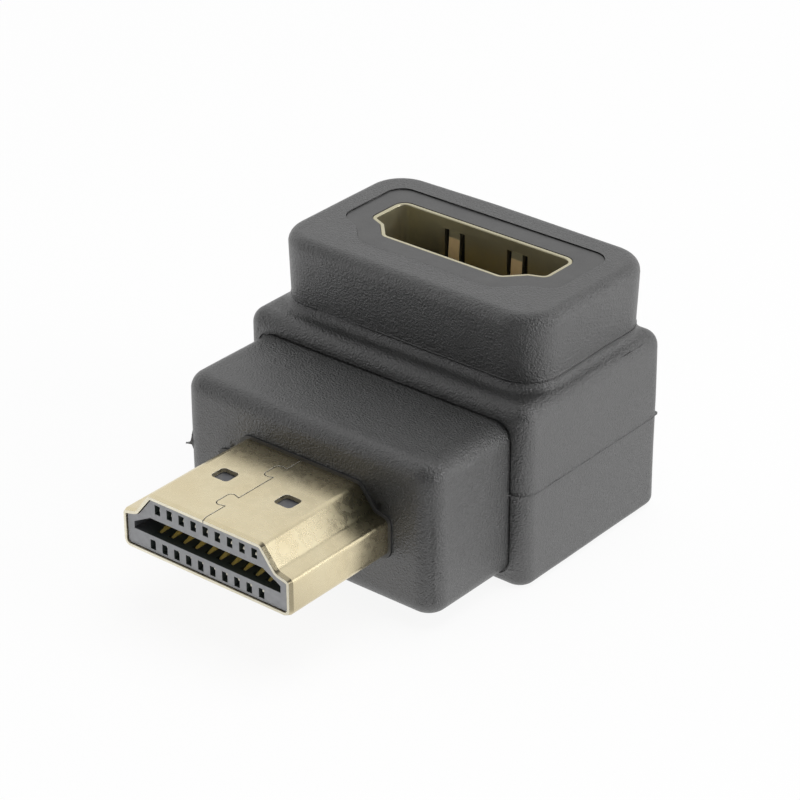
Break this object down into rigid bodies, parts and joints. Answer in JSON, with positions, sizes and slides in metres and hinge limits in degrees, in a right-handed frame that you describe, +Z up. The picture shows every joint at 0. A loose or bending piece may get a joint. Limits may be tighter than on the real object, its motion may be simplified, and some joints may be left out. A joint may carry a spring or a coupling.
{
  "type": "right angle adapter",
  "caption": "Right angle video cable adapter: a gold plug in a black soft moulding turns to a socket that faces up.",
  "frame": {"origin": "middle of the flat underside of the large block", "axes": "+Z up, out of the socket; -Y along the plug, towards its tip; X across both connectors"},
  "size_m": [0.0234, 0.032, 0.0182],
  "materials": {
    "soft_pvc": "fine leather-like grain, satin",
    "core_plastic": "smooth satin",
    "gold_shell": "pale gold plating, polished sheet",
    "socket_gold": "gold plating, satin inside",
    "grey_insulator": "moulded, satin",
    "black_insulator": "moulded, satin",
    "contact_gold": "gold plating on a stamped strip",
    "board_laminate": "lacquered laminate",
    "solder": "bright solder"
  },
  "bodies": {
    "root": {"overmould_body": "soft_pvc", "inner_premould": "core_plastic", "plug_shell": "gold_shell", "plug_insulator": "grey_insulator", "socket_shell": "socket_gold", "socket_insulator": "black_insulator", "circuit_board": "board_laminate", "plug_solder_joints": "solder", "socket_solder_joints": "solder", "plug_contact_01": "contact_gold", "plug_contact_02": "contact_gold", "plug_contact_03": "contact_gold", "plug_contact_04": "contact_gold", "plug_contact_05": "contact_gold", "plug_contact_06": "contact_gold", "plug_contact_07": "contact_gold", "plug_contact_08": "contact_gold", "plug_contact_09": "contact_gold", "plug_contact_10": "contact_gold", "plug_contact_11": "contact_gold", "plug_contact_12": "contact_gold", "plug_contact_13": "contact_gold", "plug_contact_14": "contact_gold", "plug_contact_15": "contact_gold", "plug_contact_16": "contact_gold", "plug_contact_17": "contact_gold", "plug_contact_18": "contact_gold", "plug_contact_19": "contact_gold", "socket_contact_01": "contact_gold", "socket_contact_02": "contact_gold", "socket_contact_03": "contact_gold", "socket_contact_04": "contact_gold", "socket_contact_05": "contact_gold", "socket_contact_06": "contact_gold", "socket_contact_07": "contact_gold", "socket_contact_08": "contact_gold", "socket_contact_09": "contact_gold", "socket_contact_10": "contact_gold", "socket_contact_11": "contact_gold", "socket_contact_12": "contact_gold", "socket_contact_13": "contact_gold", "socket_contact_14": "contact_gold", "socket_contact_15": "contact_gold", "socket_contact_16": "contact_gold", "socket_contact_17": "contact_gold", "socket_contact_18": "contact_gold", "socket_contact_19": "contact_gold"}
  },
  "joints": []
}
